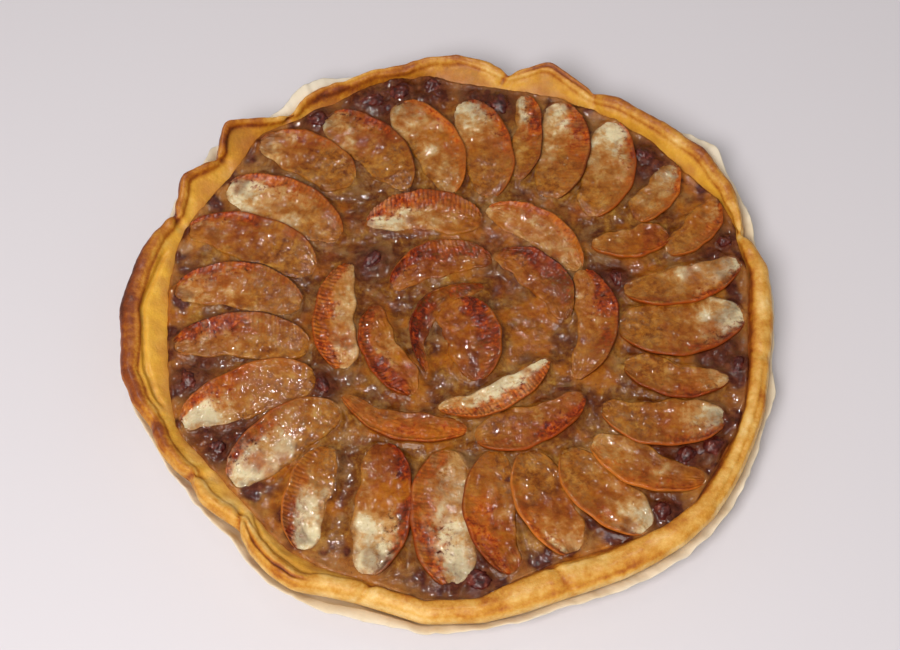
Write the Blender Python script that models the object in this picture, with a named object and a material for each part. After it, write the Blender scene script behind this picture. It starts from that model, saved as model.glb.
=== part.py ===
# Apple tart in its baking paper: crust, custard, apple slices and raisins.
# Metres, +Z up. The origin is on the underside of the paper, at the middle of the tart.
# Bearings are in degrees, anticlockwise from +X, and lengths in the tables are in millimetres.

import bisect
import math

import bmesh
import bpy
from mathutils import Matrix, Vector

MM = 0.001

# Driving dimensions, in millimetres
GAP = 0.35  # clearance between pieces that touch
PAPER_THICKNESS = 0.5
FLOOR_THICKNESS = 4.0  # pastry under the custard
FOOT_INSET = 0.5  # the crust's foot stands this far inside the custard's edge
FOOT_SPREAD = (-12, -6, 0, 6, 12)  # degrees over which the foot evens out the custard's edge
FLANK_HEIGHT = 11.0  # where the outside of the crust turns steeper
FLANK_SHARE = 0.72  # how far out the flank is by that height, from foot to belly
BELLY_DROP = 7.0  # from the rim's crown down to its widest line
LIP_DROP = 2.5  # from the crown down to the outer edge of the top
LIP_INSET = 1.5
CROWN_SHARE = 0.42  # crown, as a share of the rim's width in from the belly
SHOULDER_SHARE = 0.68
SHOULDER_DROP = 2.2
FLOOR_INSET = 5.0  # how far the inner wall leans in, from the custard's edge down to the floor
CUSTARD_LEVEL = 19.0
LONGEST_SPAN = 10.0  # degrees between two stations round the rim, at most

SLICE_TOP = 24.0  # top of the skin edge
SLICE_CORE_TOP = 20.6  # top of the core edge, just above the custard
SLICE_BASE = 12.5  # underside, sunk in the custard
SLICE_TIP_RISE = 3.5  # how much higher the underside is at the tips
SLICE_TIP_DROP = 2.2  # how much lower the skin edge is at the tips
SLICE_STATIONS = (-1.0, -0.85, -0.5, 0.0, 0.5, 0.85, 1.0)  # along the slice, tip to tip
SLICE_TIP_WIDTH = 0.22  # width of the blunt tips, as a share of the full width
SLICE_ROUNDING = 2.6  # power of the curve that rounds the tips, seen from above
SLICE_WAIST = 0.45  # height of the widest line, as a share from the base up to each edge
SKIN_BASE_SHARE = 0.55  # where the underside ends, as a share of the half width, below the skin
SKIN_TOP_SHARE = 0.82
CORE_BASE_SHARE = 0.75
CORE_TOP_SHARE = 0.86
CORE_BASE_RISE = 1.0
POCKET_CLEAR = 0.5  # custard stands this far off the sides of a slice
CUTTER_TOP = 34.0  # pockets in the custard are cut from here down

RAISIN_LEVEL = 18.6  # middle of a raisin
RAISIN_HEIGHT = 6.0
RAISIN_SEGMENTS = 6
RAISIN_RINGS = 4

# The crust's edge as it was pressed and folded by hand: bearing, reach of the belly, height of the crown
RIM = (
    (0, 149.0, 25.0), (5, 150.0, 25.5), (10, 151.5, 26.0), (15, 149.0, 25.0), (18, 146.5, 24.0),
    (21, 149.5, 25.5), (27, 153.5, 27.0), (36, 154.0, 27.5), (45, 151.0, 27.5), (55, 149.0, 27.0),
    (60, 146.0, 25.5), (66, 149.5, 27.5), (70.5, 152.0, 28.5), (74, 147.0, 27.0), (77.5, 142.0, 24.5),
    (82, 147.5, 26.0), (88, 149.0, 27.0), (94, 148.0, 27.0), (99, 145.0, 26.0), (105, 145.0, 26.5),
    (111, 142.5, 26.0), (116, 143.0, 27.0), (120, 141.5, 26.5), (124, 137.5, 25.0), (128, 141.5, 26.0),
    (132, 146.0, 28.0), (136, 151.0, 30.5), (139.5, 145.0, 28.5), (142, 141.0, 25.5), (146, 145.0, 27.0),
    (149.5, 148.0, 28.5), (153, 144.0, 26.5), (157, 141.5, 25.0), (163, 146.0, 26.5), (170, 148.0, 27.5),
    (179, 150.0, 28.0), (185, 148.5, 28.0), (192, 149.5, 28.0), (198, 147.0, 27.0), (203, 143.0, 26.0),
    (208, 144.0, 26.0), (213, 141.5, 25.5), (216.5, 138.5, 25.0), (221, 142.0, 26.5), (225, 139.5, 25.5),
    (229, 137.5, 25.0), (234, 144.0, 27.0), (239, 147.5, 28.0), (244, 149.0, 28.0), (249, 144.5, 25.5),
    (256, 142.5, 24.0), (266, 147.5, 25.0), (276, 147.5, 25.0), (290, 145.0, 25.0), (301, 148.0, 25.0),
    (312, 151.5, 27.0), (319, 152.5, 27.0), (330, 150.5, 26.0), (341, 149.0, 25.5), (352, 147.5, 25.0),
)

# Where the custard meets the crust: bearing, reach
CUSTARD_EDGE = (
    (0, 137), (10, 141), (18, 142), (24, 146), (31, 140), (37, 139), (44, 140), (52, 138.5), (58, 137),
    (64, 137), (73, 134), (80, 133.5), (86, 133), (95, 139), (104, 138), (112, 135), (122, 133),
    (131, 137), (137, 133), (143, 129.5), (150, 130), (160, 132), (174, 128.5), (184, 127), (196, 128.5),
    (206, 132), (214, 127.5), (226, 126.5), (238, 132), (248, 132.5), (259, 133), (267, 138), (275, 138),
    (282, 131.5), (290, 128.5), (298, 130), (307, 136), (314, 141.5), (321, 141), (329, 138), (337, 140),
    (346, 138),
)

# The paper's edge stands just outside the crust, with flaps: bearing, half width, reach, rise
PAPER_STANDOFF = 0.8  # the paper's wall stands this far off the crust
PAPER_CLEAR = 1.2
PAPER_BRIDGE = 3.0  # degrees
PAPER_EDGE_HEIGHT = 14.0
PAPER_LIP = 2.0  # the edge turns outwards over this height
PAPER_FLAPS = (
    (23, 3, 3.0, 4.0), (38, 7, 4.5, 8.0), (117, 8, 5.5, 7.0), (141, 3, 1.5, 3.0),
    (205, 20, -0.7, 0.0), (248, 3, 2.0, 1.0), (255, 3, 3.0, 1.0), (263, 5, 2.0, 1.0), (316, 20, 2.2, -0.5),
    (346, 3, 2.5, 1.0),
)

# Apple slices: bearing and distance of the middle, turn of the long axis from straight outwards,
# length, width, bend. The skin edge is on the right, seen from the inner tip.
OUTER_SLICES = (
    (10, 111, 6, 56, 20, 5), (357, 107.5, 11, 57, 24, 5), (343, 107, 9, 46, 15, 5), (331, 109, 23, 54, 20, 6),
    (319, 115, 21, 51, 17, 5), (307, 111, 5, 50, 20, 4), (294, 102, -3, 51, 19, 4), (282, 99, -5, 57, 20, 6),
    (269, 99, 1, 62, 24, 4), (253, 99.5, -168, 62, 24, 3), (237, 107.5, 20, 49, 19, 4), (221, 96, -1, 58, 24, 4),
    (204, 98, 0, 62, 22, 4), (187, 94, -6, 61, 20, 6), (171.5, 97, 3, 59, 21, 7), (156, 99, 5, 63, 22, 6),
    (141, 97.5, 12, 61, 20, 6), (127, 111, 28, 50, 21, 4), (111, 101, 21, 57, 22, 5), (94.5, 96.5, 20, 59, 21, 6),
    (79, 97, 24, 57, 19, 6), (69.5, 108, 17, 49, 12.5, 3), (59, 108.5, 24, 56, 20, 5), (46.5, 113, 31, 55, 19, 5),
    (34, 121.5, 28, 36, 14, 3), (22.5, 126, 28, 37, 15, 3), (25, 94.5, -19, 36, 14, 3),
)
MIDDLE_SLICES = (
    (101, 57, 82, 53, 18, 6), (47, 62, 96, 53, 18, 6), (356.5, 65, 88, 57, 17, 9),
    (305, 66, 80, 52, 17, 5), (249, 57, 93, 57, 12, 8), (179, 50, 88, 55, 16, 6),
)
INNER_SLICES = (
    (98, 28, 100, 48, 18, 7), (25, 46, 108, 46, 18, 7), (301, 44, 86, 54, 14, 7),
    (213, 33, 77, 48, 15, 6), (214, 4, 27, 52, 9, 17), (317, 16, 143, 42, 23, 3),
)

# Raisins: x, y, length, width
RAISINS = (
    (-7, 133, 9, 8), (-24, 129, 12, 9), (-37, 124, 12, 9), (-63.5, 112, 10, 8), (25, 122, 10, 9),
    (95, 91, 9, 8), (-35, 31, 10, 6), (-116, -32, 10, 8), (130, 41, 7, 6), (78, 21, 8, 5),
    (131, -25, 9, 6), (105, -70, 10, 7), (117, -65, 9, 8), (13, -128, 10, 8), (93, -96, 9, 7),
    (-56, -35, 8, 5), (-101, -66, 7, 7),
)

PAPER = ("baking_paper", (0.78, 0.76, 0.70), 0.7)
PASTRY = ("pastry", (0.72, 0.42, 0.14), 0.6)
CUSTARD = ("custard", (0.42, 0.22, 0.09), 0.25)
APPLE = ("apple", (0.62, 0.42, 0.22), 0.4)
RAISIN = ("raisin", (0.10, 0.03, 0.03), 0.35)


def clear_scene():
    for existing in list(bpy.data.objects):
        bpy.data.objects.remove(existing, do_unlink=True)


def material(name, colour, roughness):
    found = bpy.data.materials.get(name)
    if found:
        return found
    made = bpy.data.materials.new(name)
    made.use_nodes = True
    shader = made.node_tree.nodes["Principled BSDF"]
    shader.inputs["Base Color"].default_value = (*colour, 1.0)
    shader.inputs["Roughness"].default_value = roughness
    shader.inputs["Metallic"].default_value = 0.0
    return made


def read_marks(marks, column, bearing):
    """Value at a bearing, on a smooth closed curve through the marks."""
    count = len(marks)
    after = bisect.bisect_right([mark[0] for mark in marks], bearing % 360)
    index = [(after + step) % count for step in (-2, -1, 0, 1)]
    turns = [(after + step) // count for step in (-2, -1, 0, 1)]
    at = [marks[i][0] + 360 * turn for i, turn in zip(index, turns)]
    value = [marks[i][column] for i in index]
    span = at[2] - at[1]
    t = (bearing % 360 - at[1]) / span
    slope_in = (value[2] - value[0]) / (at[2] - at[0]) * span
    slope_out = (value[3] - value[1]) / (at[3] - at[1]) * span
    return (
        value[1] * (2 * t**3 - 3 * t**2 + 1)
        + slope_in * (t**3 - 2 * t**2 + t)
        + value[2] * (3 * t**2 - 2 * t**3)
        + slope_out * (t**3 - t**2)
    )


def rim_stations():
    """Bearings of the rim's marks, with more between two that lie far apart."""
    stations = []
    for mark, following in zip(RIM, RIM[1:] + RIM[:1]):
        span = (following[0] - mark[0]) % 360
        steps = math.ceil(span / LONGEST_SPAN)
        stations += [mark[0] + span * step / steps for step in range(steps)]
    return stations


def polar(bearing, reach, height):
    angle = math.radians(bearing)
    return Vector((reach * math.cos(angle), reach * math.sin(angle), height)) * MM


def crust_profile(bearing):
    """The crust's section at a bearing, as (reach, height) from its foot over the rim to its floor."""
    belly = read_marks(RIM, 1, bearing)
    crown = read_marks(RIM, 2, bearing)
    edge = read_marks(CUSTARD_EDGE, 1, bearing)
    base = PAPER_THICKNESS + GAP
    nearby = [read_marks(CUSTARD_EDGE, 1, bearing + turn) for turn in FOOT_SPREAD]
    foot = sum(nearby) / len(nearby) - FOOT_INSET
    rim_width = belly - edge
    flank = foot + FLANK_SHARE * (belly - foot)
    return (
        (foot, base),
        (flank, FLANK_HEIGHT),
        (belly, crown - BELLY_DROP),
        (belly - LIP_INSET, crown - LIP_DROP),
        (belly - CROWN_SHARE * rim_width, crown),
        (belly - SHOULDER_SHARE * rim_width, crown - SHOULDER_DROP),
        (edge, CUSTARD_LEVEL),
        (edge - FLOOR_INSET, base + FLOOR_THICKNESS),
    )


def reach_at(profile, height):
    """Reach of a profile at a height, by straight lines between its points."""
    for (reach_a, height_a), (reach_b, height_b) in zip(profile, profile[1:]):
        if min(height_a, height_b) <= height <= max(height_a, height_b):
            return reach_a + (reach_b - reach_a) * (height - height_a) / (height_b - height_a)
    raise ValueError("the profile doesn't reach that height")


def bridged_reach(bearing, height):
    """The crust's farthest reach near a bearing, because the paper bridges its narrow folds."""
    reaches = []
    for turn in (-PAPER_BRIDGE, 0.0, PAPER_BRIDGE):
        outside = crust_profile(bearing + turn)[:3]
        reaches.append(reach_at(outside, min(height, outside[-1][1])))
    return max(reaches)


def offset_outline(points, thick):
    """The outline moved outwards by a thickness, with mitred corners. Its first point stays level."""
    ways = [(Vector(b) - Vector(a)).normalized() for a, b in zip(points, points[1:])]
    outward = [Vector((way.y, -way.x)) for way in ways]
    moved = [(points[0][0] + thick, 0.0)]
    for point, before, after in zip(points[1:-1], outward, outward[1:]):
        mitre = (before + after) * (thick / (1.0 + before.dot(after)))
        moved.append(tuple(Vector(point) + mitre))
    moved.append(tuple(Vector(points[-1]) + outward[-1] * thick))
    return moved


def paper_profile(bearing):
    """The paper's section, as (reach, height) up its outer face and down its inner face."""
    foot, _, belly = crust_profile(bearing)[:3]
    beyond = PAPER_CLEAR
    top = PAPER_EDGE_HEIGHT
    for middle, half_width, reach, rise in PAPER_FLAPS:
        away = (bearing - middle + 180) % 360 - 180
        share = math.exp(-((away / half_width) ** 2))
        beyond += reach * share
        top += rise * share
    under = min(top - PAPER_LIP, belly[1])
    inner = (
        (foot[0] + PAPER_STANDOFF, PAPER_THICKNESS),
        (bridged_reach(bearing, FLANK_HEIGHT) + PAPER_STANDOFF, FLANK_HEIGHT),
        (bridged_reach(bearing, under) + PAPER_STANDOFF, under),
        (bridged_reach(bearing, top) + beyond, top),
    )
    return (*offset_outline(inner, PAPER_THICKNESS), *reversed(inner))


def ring_of(bm, points):
    return [bm.verts.new(point) for point in points]


def loft(rings, folded=False):
    """A closed body through rings of equal length, with a flat cap at each end.

    A folded body runs out along its outer face and back along its inner face, and both are cut into
    triangles the same way, so that a thin wall keeps its thickness.
    """
    bm = bmesh.new()
    rows = [ring_of(bm, ring) for ring in rings]
    bm.faces.new(reversed(rows[0]))
    bm.faces.new(rows[-1])
    for level, (row, following) in enumerate(zip(rows, rows[1:])):
        coming_back = level >= len(rows) // 2
        for i in range(len(row)):
            j = (i + 1) % len(row)
            if not folded:
                bm.faces.new((row[i], row[j], following[j], following[i]))
            elif coming_back:
                bm.faces.new((row[i], row[j], following[i]))
                bm.faces.new((row[j], following[j], following[i]))
            else:
                bm.faces.new((row[i], row[j], following[j]))
                bm.faces.new((row[i], following[j], following[i]))
    bmesh.ops.recalc_face_normals(bm, faces=bm.faces)
    return bm


def add_object(name, bm, finish, smooth=True):
    mesh = bpy.data.meshes.new(name)
    bm.to_mesh(mesh)
    bm.free()
    if finish:
        mesh.materials.append(material(*finish))
    if smooth:
        mesh.shade_smooth()
        mesh.set_sharp_from_angle(angle=math.radians(40))
    made = bpy.data.objects.new(name, mesh)
    bpy.context.scene.collection.objects.link(made)
    return made


def turned_body(profiles, stations, folded=False):
    """A closed body from one profile for each station round the tart."""
    rings = []
    for level in range(len(profiles[0])):
        rings.append([polar(b, *profile[level]) for b, profile in zip(stations, profiles)])
    return loft(rings, folded)


def add_crust(stations):
    profiles = [crust_profile(b) for b in stations]
    return add_object("crust", turned_body(profiles, stations), PASTRY)


def add_paper(stations):
    profiles = [paper_profile(b) for b in stations]
    return add_object("paper", turned_body(profiles, stations, folded=True), PAPER)


def add_filling(stations):
    """Custard up to its level, before the pockets are cut."""
    base = PAPER_THICKNESS + GAP + FLOOR_THICKNESS + GAP
    profiles = []
    for bearing in stations:
        wall = crust_profile(bearing)[6:]
        profiles.append(
            (
                (reach_at(wall, base) - GAP, base),
                (wall[0][0] - GAP, CUSTARD_LEVEL),
            )
        )
    return add_object("filling", turned_body(profiles, stations), CUSTARD, smooth=False)


def slice_frame(bearing, distance, turn):
    """Middle of a slice, the way to its outer tip and the way to its skin edge."""
    middle = polar(bearing, distance, 0.0) / MM
    heading = math.radians(bearing + turn)
    along = Vector((math.cos(heading), math.sin(heading), 0.0))
    to_skin = Vector((math.sin(heading), -math.cos(heading), 0.0))
    return middle, along, to_skin


def slice_station(row, t):
    """Middle of the section, half width, and the heights of base and skin edge, at t from -1 to 1."""
    bearing, distance, turn, length, width, bend = row
    middle, along, to_skin = slice_frame(bearing, distance, turn)
    full = max(0.0, 1.0 - abs(t) ** SLICE_ROUNDING) ** 0.5
    half = 0.5 * width * max(full, SLICE_TIP_WIDTH)
    centre = middle + along * (0.5 * length * t) + to_skin * (bend * (0.5 - t**2))
    base = SLICE_BASE + SLICE_TIP_RISE * t**2
    top = SLICE_TOP - SLICE_TIP_DROP * t**2
    return centre, to_skin, half, base, top


def slice_section(row, t):
    centre, to_skin, half, base, top = slice_station(row, t)
    outline = (
        (-CORE_BASE_SHARE, base + CORE_BASE_RISE),
        (SKIN_BASE_SHARE, base),
        (1.0, base + SLICE_WAIST * (top - base)),
        (SKIN_TOP_SHARE, top),
        (-CORE_TOP_SHARE, SLICE_CORE_TOP),
        (-1.0, base + SLICE_WAIST * (SLICE_CORE_TOP - base)),
    )
    return [(centre + to_skin * (half * share) + Vector((0, 0, height))) * MM for share, height in outline]


def pocket_section(row, t):
    """The slice's section grown by the gap, with its sides carried up above the custard."""
    centre, to_skin, half, base, top = slice_station(row, t)
    _, along, _ = slice_frame(*row[:3])
    centre = centre + along * (POCKET_CLEAR * t)
    side = half + POCKET_CLEAR
    outline = (
        (-side, base + CORE_BASE_RISE - GAP),
        (SKIN_BASE_SHARE * half + POCKET_CLEAR, base - GAP),
        (side, base + SLICE_WAIST * (top - base) - GAP),
        (side, CUTTER_TOP),
        (-side, CUTTER_TOP),
    )
    return [(centre + to_skin * away + Vector((0, 0, height))) * MM for away, height in outline]


def raisin_body(x, y, length, width, grow, pocket):
    """An egg-shaped raisin lying round the tart; as a pocket, its upper half is carried straight up."""
    bm = bmesh.new()
    bmesh.ops.create_uvsphere(bm, u_segments=RAISIN_SEGMENTS, v_segments=RAISIN_RINGS, radius=1.0)
    if pocket:
        for vert in bm.verts:
            reach = math.hypot(vert.co.x, vert.co.y)
            if vert.co.z > 0.1:
                vert.co.z = (CUTTER_TOP - RAISIN_LEVEL) / (RAISIN_HEIGHT / 2 + grow)
                if reach > 0.1:
                    vert.co.x /= reach
                    vert.co.y /= reach
    size = Vector((length / 2 + grow, width / 2 + grow, RAISIN_HEIGHT / 2 + grow)) * MM
    bmesh.ops.scale(bm, vec=size, verts=bm.verts)
    turn = Matrix.Rotation(math.atan2(y, x) + math.pi / 2, 3, "Z")
    bmesh.ops.rotate(bm, matrix=turn, verts=bm.verts)
    bmesh.ops.translate(bm, vec=Vector((x, y, RAISIN_LEVEL)) * MM, verts=bm.verts)
    return bm


def add_slices(rows, name):
    for number, row in enumerate(rows, 1):
        sections = [slice_section(row, t) for t in SLICE_STATIONS]
        add_object(f"{name}_{number:02d}", loft(sections), APPLE)


def add_raisins():
    for number, row in enumerate(RAISINS, 1):
        add_object(f"raisin_{number:02d}", raisin_body(*row, 0.0, False), RAISIN)


def cut_pockets(filling):
    """One cutter for each slice and raisin, kept in a collection of their own."""
    cutters = bpy.data.collections.new("pocket_cutters")
    bpy.context.scene.collection.children.link(cutters)
    bodies = []
    for row in OUTER_SLICES + MIDDLE_SLICES + INNER_SLICES:
        bodies.append(loft([pocket_section(row, t) for t in SLICE_STATIONS]))
    for row in RAISINS:
        bodies.append(raisin_body(*row, GAP, True))
    for number, body in enumerate(bodies, 1):
        cutter = add_object(f"cutter_{number:02d}", body, None, smooth=False)
        bpy.context.scene.collection.objects.unlink(cutter)
        cutters.objects.link(cutter)
        cutter.hide_render = True
        cutter.display_type = "WIRE"
    cut = filling.modifiers.new("pockets", "BOOLEAN")
    cut.operand_type = "COLLECTION"
    cut.collection = cutters
    cut.operation = "DIFFERENCE"
    cut.solver = "EXACT"


def main():
    clear_scene()
    stations = rim_stations()
    add_paper(stations)
    add_crust(stations)
    filling = add_filling(stations)
    add_slices(OUTER_SLICES, "outer_slice")
    add_slices(MIDDLE_SLICES, "middle_slice")
    add_slices(INNER_SLICES, "inner_slice")
    add_raisins()
    cut_pockets(filling)


main()
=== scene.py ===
# Apple tart: hand-folded crust, custard, browned apple slices and raisins, in its baking paper.
# Metres, +Z up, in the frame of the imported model. Lengths in the dictionaries are in millimetres,
# and bearings are in degrees, anticlockwise from +X.

import math
import random

import bmesh
import bpy
import numpy as np
from mathutils import Matrix, Vector, noise
from mathutils.bvhtree import BVHTree


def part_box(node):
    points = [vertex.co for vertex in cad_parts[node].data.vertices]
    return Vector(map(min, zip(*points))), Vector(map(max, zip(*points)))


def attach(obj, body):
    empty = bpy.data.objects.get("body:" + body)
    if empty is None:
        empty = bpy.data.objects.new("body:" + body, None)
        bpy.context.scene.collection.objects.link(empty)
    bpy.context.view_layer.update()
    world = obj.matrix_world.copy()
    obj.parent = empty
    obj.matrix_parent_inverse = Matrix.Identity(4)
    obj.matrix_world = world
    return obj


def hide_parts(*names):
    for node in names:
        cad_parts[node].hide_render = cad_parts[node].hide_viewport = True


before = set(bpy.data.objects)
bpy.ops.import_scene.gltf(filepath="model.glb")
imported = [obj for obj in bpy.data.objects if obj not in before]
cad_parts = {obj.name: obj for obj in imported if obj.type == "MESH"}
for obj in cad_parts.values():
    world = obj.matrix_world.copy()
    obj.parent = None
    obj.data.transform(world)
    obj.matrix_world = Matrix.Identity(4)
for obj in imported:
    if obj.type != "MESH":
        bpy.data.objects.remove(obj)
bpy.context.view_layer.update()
mm = 0.001
print("frame loaded:", len(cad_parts), "nodes")


# shared helpers

def smoothStep(low, high, values):
    share = np.clip((np.asarray(values, float) - low) / (high - low), 0.0, 1.0)
    return share * share * (3.0 - 2.0 * share)


def bump(values, middle, halfWidth):
    return np.exp(-(((np.asarray(values, float) - middle) / halfWidth) ** 2))


def plateau(values, rise, full, fade, end):
    # 1 between full and fade, and 0 before rise and past end
    return smoothStep(rise, full, values) * (1 - smoothStep(fade, end, values))


def roughness(points, size, seed=0.0, octaves=1):
    # points in millimetres, one value from about -1 to 1 for each
    shift = Vector((seed * 7.31, seed * 3.17, seed * 5.03))
    values = np.zeros(len(points))
    strength = 1.0
    for octave in range(octaves):
        scale = 2.0 ** octave / size
        values += strength * np.fromiter(
            (noise.noise(Vector(point) * scale + shift) for point in points), float, len(points))
        strength *= 0.5
    return values


def layered(points, *layers):
    # the sum of some layers of roughness, each given as its amount, size, seed and octaves
    return sum(amount * roughness(points, *layer) for amount, *layer in layers)


def bearingAndReach(points):
    return np.degrees(np.arctan2(points[:, 1], points[:, 0])) % 360, np.hypot(points[:, 0], points[:, 1])


def perVertex(mesh, key):
    # "co" gives the points of a mesh and "normal" its normals, one row for each vertex
    values = np.zeros(len(mesh.vertices) * 3)
    mesh.vertices.foreach_get(key, values)
    return values.reshape(-1, 3)


def movePoints(mesh, points):
    mesh.vertices.foreach_set("co", np.asarray(points, float).ravel())
    mesh.update()


def paint(mesh, name, values):
    layer = mesh.attributes.new(name, "FLOAT", "POINT")
    layer.data.foreach_set("value", np.asarray(values, np.float32))


def rayTree(nodeName):
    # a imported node, for rays to be cast on
    bm = bmesh.new()
    bm.from_mesh(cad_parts[nodeName].data)
    bmesh.ops.remove_doubles(bm, verts=bm.verts, dist=0.01 * mm)
    tree = BVHTree.FromBMesh(bm)
    bm.free()
    return tree


def wayOut(bearing):
    return Vector((math.cos(bearing), math.sin(bearing), 0.0))


rayStart = {"outside": 0.3, "above": 0.06}        # metres, clear of the tart


def reachAt(tree, outward, height):
    # where a level ray from outside the tart meets the node, or None
    hit = tree.ray_cast(outward * rayStart["outside"] + Vector((0, 0, height * mm)), -outward)[0]
    return hit.xy.length / mm if hit else None


def heightAt(tree, outward, reach):
    # where a ray from above meets the node, or None
    hit = tree.ray_cast(outward * (reach * mm) + Vector((0, 0, rayStart["above"])), Vector((0, 0, -1)))[0]
    return hit.z / mm if hit else None


def toMesh(bm, name):
    mesh = bpy.data.meshes.new(name)
    bm.to_mesh(mesh)
    bm.free()
    return mesh


def addObject(name, data):
    made = bpy.data.objects.new(name, data)
    bpy.context.scene.collection.objects.link(made)
    return made


def addPiece(mesh, finish, slotName, *replaced):
    mesh.materials.clear()
    mesh.materials.append(finish)
    mesh.shade_smooth()
    piece = addObject(mesh.name, mesh)
    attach(piece, "root")
    if replaced:
        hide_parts(*replaced)


# shader helpers

def feed(tree, socket, value):
    # links what comes from a node, or what is painted under a name, and sets a plain value
    if isinstance(value, str):
        value = addNode(tree, "ShaderNodeAttribute", attribute_name=value).outputs["Fac"]
    if isinstance(value, bpy.types.NodeSocket):
        tree.links.new(value, socket)
    else:
        socket.default_value = value


def addNode(tree, kind, inputs=None, **settings):
    made = tree.nodes.new(kind)
    for key, value in settings.items():
        setattr(made, key, value)
    for key, value in (inputs or {}).items():
        feed(tree, made.inputs[key], value)
    return made


def startMaterial(name, settings):
    # a Principled material whose plain settings stand on the shader's own sockets
    finish = bpy.data.materials.new(name)
    finish.use_nodes = True
    tree = finish.node_tree
    shader = tree.nodes["Principled BSDF"]
    plug(tree, shader, settings)
    return finish, tree, shader


def plug(tree, shader, values):
    for key, value in values.items():
        feed(tree, shader.inputs[key], value)


def noiseField(tree, sizeMm, detail, rough, distortion=0.0):
    point = addNode(tree, "ShaderNodeTexCoord").outputs["Object"]
    inputs = {"Vector": point, "Scale": 1000.0 / sizeMm, "Detail": detail, "Roughness": rough,
              "Distortion": distortion}
    return addNode(tree, "ShaderNodeTexNoise", inputs).outputs["Fac"]


def spread(tree, value, low, high, newLow=0.0, newHigh=1.0):
    inputs = {"Value": value, "From Min": low, "From Max": high, "To Min": newLow, "To Max": newHigh}
    return addNode(tree, "ShaderNodeMapRange", inputs).outputs["Result"]


def fromNoise(tree, field, least, most):
    # a noise field, which lies between 0.3 and 0.7 nearly everywhere, as values from least to most
    return spread(tree, field, 0.3, 0.7, least, most)


def maths(tree, operation, a, b, clamped=False):
    inputs = {0: a, 1: b}
    return addNode(tree, "ShaderNodeMath", inputs, operation=operation, use_clamp=clamped).outputs[0]


def vary(tree, value, field, least, most, clamped=False):
    return maths(tree, "ADD", value, fromNoise(tree, field, least, most), clamped)


def mixColour(tree, factor, first, second):
    return addNode(tree, "ShaderNodeMix", {0: factor, 6: first, 7: second}, data_type="RGBA").outputs[2]


def tint(tree, colour, mask, share, over):
    # lays a colour over another one, where the mask says and by that share at most
    return mixColour(tree, maths(tree, "MULTIPLY", mask, share), colour, over)


def srgb(red, green, blue):
    # a screen colour, 0 to 255, as the linear colour that shaders take
    channels = []
    for value in (red, green, blue):
        share = value / 255.0
        channels.append(share / 12.92 if share <= 0.04045 else ((share + 0.055) / 1.055) ** 2.4)
    return (*channels, 1.0)


def colourRamp(tree, factor, *stops):
    # each stop is its position and then its screen colour
    made = addNode(tree, "ShaderNodeValToRGB", {"Fac": factor})
    ramp = made.color_ramp
    while len(ramp.elements) < len(stops):
        ramp.elements.new(0.5)
    for element, (position, *colour) in zip(ramp.elements, stops):
        element.position = position
        element.color = srgb(*colour)
    return made.outputs["Color"]


def bumpFrom(tree, height, distanceMm, strength=1.0, normal=None):
    inputs = {"Height": height, "Distance": distanceMm * mm, "Strength": strength}
    if normal is not None:
        inputs["Normal"] = normal
    return addNode(tree, "ShaderNodeBump", inputs).outputs["Normal"]


# crust

crust = {
    "stations": 900,         # round the rim
    "footHeight": 1.0,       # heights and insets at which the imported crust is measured
    "bellyHeights": (15, 17, 18.5, 20, 21.5),
    "topInsets": (1.5, 3, 4.5, 6, 7.5, 9),
    "edgeHeight": 18.6,
    "foldRounding": 0.8,     # degrees of bearing over which the folds are rounded
    "evenRound": 14,         # degrees over which the edge is evened out to its general round
    "bellyDrop": 6.0,        # from the top of the rim down to its widest line
    "leastWidth": 3.5,       # of its top
    "foldNarrowing": 0.3,    # of its top, for each millimetre that a fold stands out
    "ledgeLimit": 20.6,      # the inner face drops up to three quarters of the way down to here
    "custardLine": 19.0,
    "hiddenLine": 16.0,      # the slope goes on to here under the custard
    "floorThick": 4.0,
    "unevenness": ((0.7, 24, 1), (0.38, 8, 2, 2), (0.18, 2.6, 3)),       # of the hand, lumps and flakes
    "creaseDepth": 1.1,      # where the outline turns in
    "creaseWidth": 0.9,      # half of it, in degrees
    "creaseLean": 1.5,
    "creaseWindow": 5,       # a crease is the deepest place this many degrees to either side
    "turnIn": 1.2,           # millimetres of turning in that make a crease
    "fullTurnIn": 3.0,       # and that make one of the stated depth
    "creaseMost": 1.4,       # times that depth
    "flankRelief": 0.15,     # share of the unevenness left where the paper covers the flank
    "lobeBrowning": 0.03,    # for each millimetre that a fold stands out
    "hiddenHeight": 13.0,    # where the custard's edge ends inside the crust
    "custardInset": 1.5,     # that edge keeps this far inside the outer face
    "custardCover": (0.6, 4.0),
    "blotches": ((0.17, 12, 6, 3), (0.06, 3.6, 7, 2)),      # of the browning
    "floorRings": (0.0, 0.35, 0.7, 0.9),
    "hiddenShade": 0.3,      # of every painted layer, on the underside and under the custard
    "segmentRows": (7, 7, 6, 4, 4, 6, 6, 4, 4, 4, 9, 5, 8),      # of points, from corner to corner
    "shadePlaces": (4.6, 6.4, 8.3, 10.2),      # counted in corners: outer edge, top, inner edge, slope
    "paperEdge": 3.4,        # counted in corners: the paper lies against the flank up to here
}

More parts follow.
